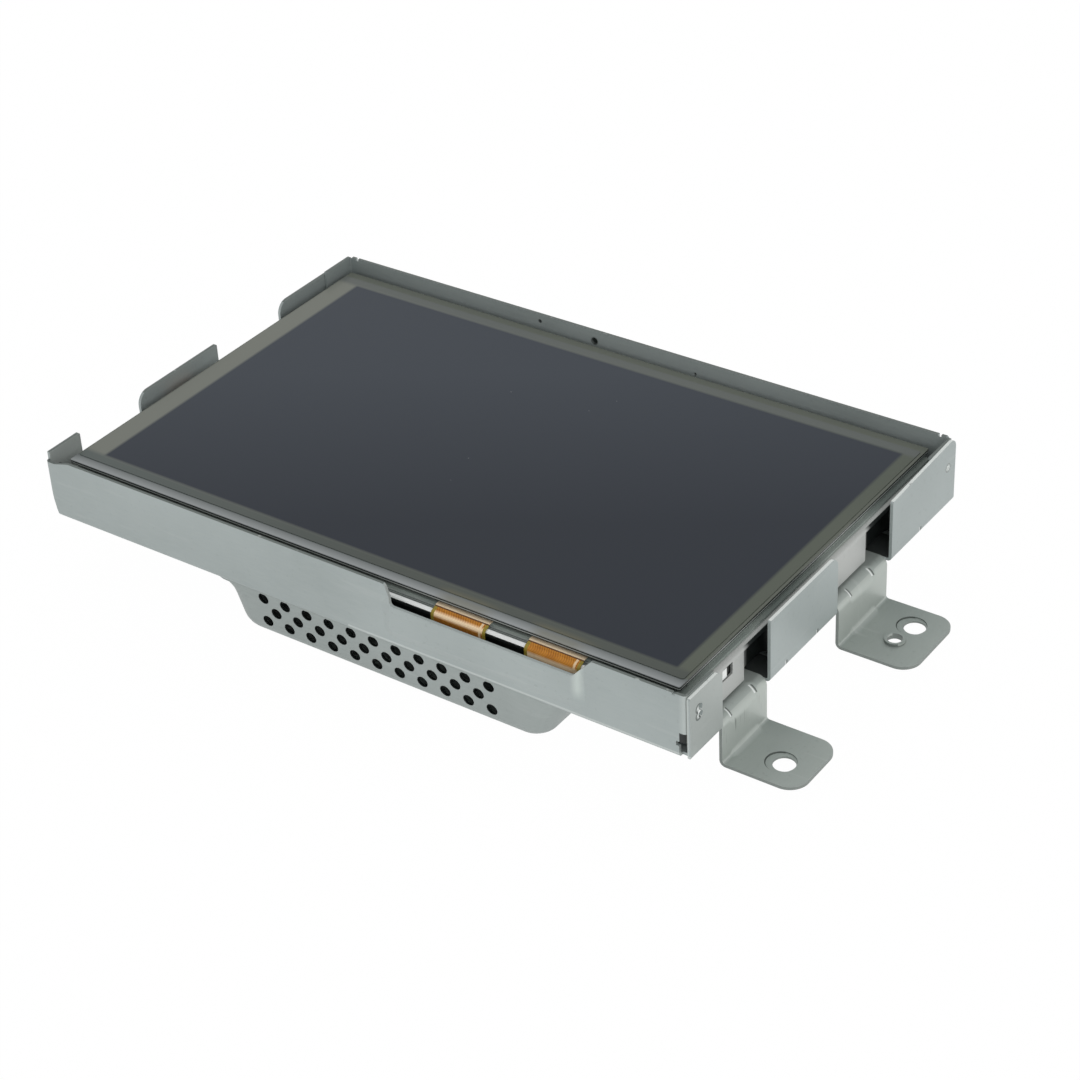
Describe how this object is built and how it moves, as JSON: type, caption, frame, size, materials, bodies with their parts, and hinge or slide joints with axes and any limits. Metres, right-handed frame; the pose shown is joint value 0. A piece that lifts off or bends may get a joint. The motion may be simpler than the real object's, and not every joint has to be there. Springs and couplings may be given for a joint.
{
  "type": "multimedia display screen",
  "caption": "Wide colour display with a touch panel, set in a folded steel tray with side tabs, a vented rear cover and side mounting brackets, for fitting into a dashboard.",
  "frame": {"origin": "under the centre of the picture, on the flat back of the rear cover", "axes": "+X to the right along the picture's long side, +Y to the picture's top edge, +Z out of the screen"},
  "size_m": [0.2135, 0.1251, 0.0335],
  "materials": {
    "tray_steel": "satin zinc coat",
    "cover_steel": "satin zinc coat",
    "bracket_steel": "satin zinc coat",
    "chassis_steel": "satin",
    "frame_plastic": "moulded",
    "white_film": "smooth",
    "clear_acrylic": "polished",
    "board_white": "smooth",
    "dark_film": "smooth",
    "cell_glass": "polished",
    "screen_film": "fine matte",
    "gasket_foam": "matte",
    "border_glass": "polished",
    "touch_plastic": "fine matte",
    "copper_tape": "smooth",
    "chip_black": "moulded",
    "board_green": "satin",
    "socket_plastic": "moulded",
    "can_metal": "satin",
    "pin_brass": "plated",
    "zinc_screws": "zinc plated"
  },
  "bodies": {
    "root": {"main_tray": "tray_steel", "rear_cover": "cover_steel", "bracket_front": "bracket_steel", "bracket_rear": "bracket_steel", "lcd_chassis": "chassis_steel", "chassis_back": "chassis_steel", "mould_frame": "frame_plastic", "reflector_sheet": "white_film", "light_guide": "clear_acrylic", "diffuser_sheet": "white_film", "prism_sheet": "clear_acrylic", "led_strip": "board_white", "rear_polariser": "dark_film", "tft_glass": "cell_glass", "colour_filter_glass": "cell_glass", "front_polariser": "screen_film", "touch_gasket": "gasket_foam", "touch_glass": "border_glass", "touch_film": "touch_plastic", "driver_tape_left": "copper_tape", "driver_tape_right": "copper_tape", "driver_chips": "chip_black", "source_board": "board_green", "panel_flex": "copper_tape", "panel_connector": "socket_plastic", "touch_tail": "copper_tape", "touch_connector": "socket_plastic", "main_board": "board_green", "board_standoffs": "zinc_screws", "board_screws": "zinc_screws", "video_processor": "chip_black", "memory_chips": "chip_black", "power_coil": "chip_black", "capacitors": "can_metal", "harness_socket": "socket_plastic", "socket_pins": "pin_brass", "cover_screws": "zinc_screws", "module_screws": "zinc_screws", "module_standoffs": "zinc_screws", "bracket_rivets": "zinc_screws", "foam_strips": "gasket_foam"}
  },
  "joints": []
}
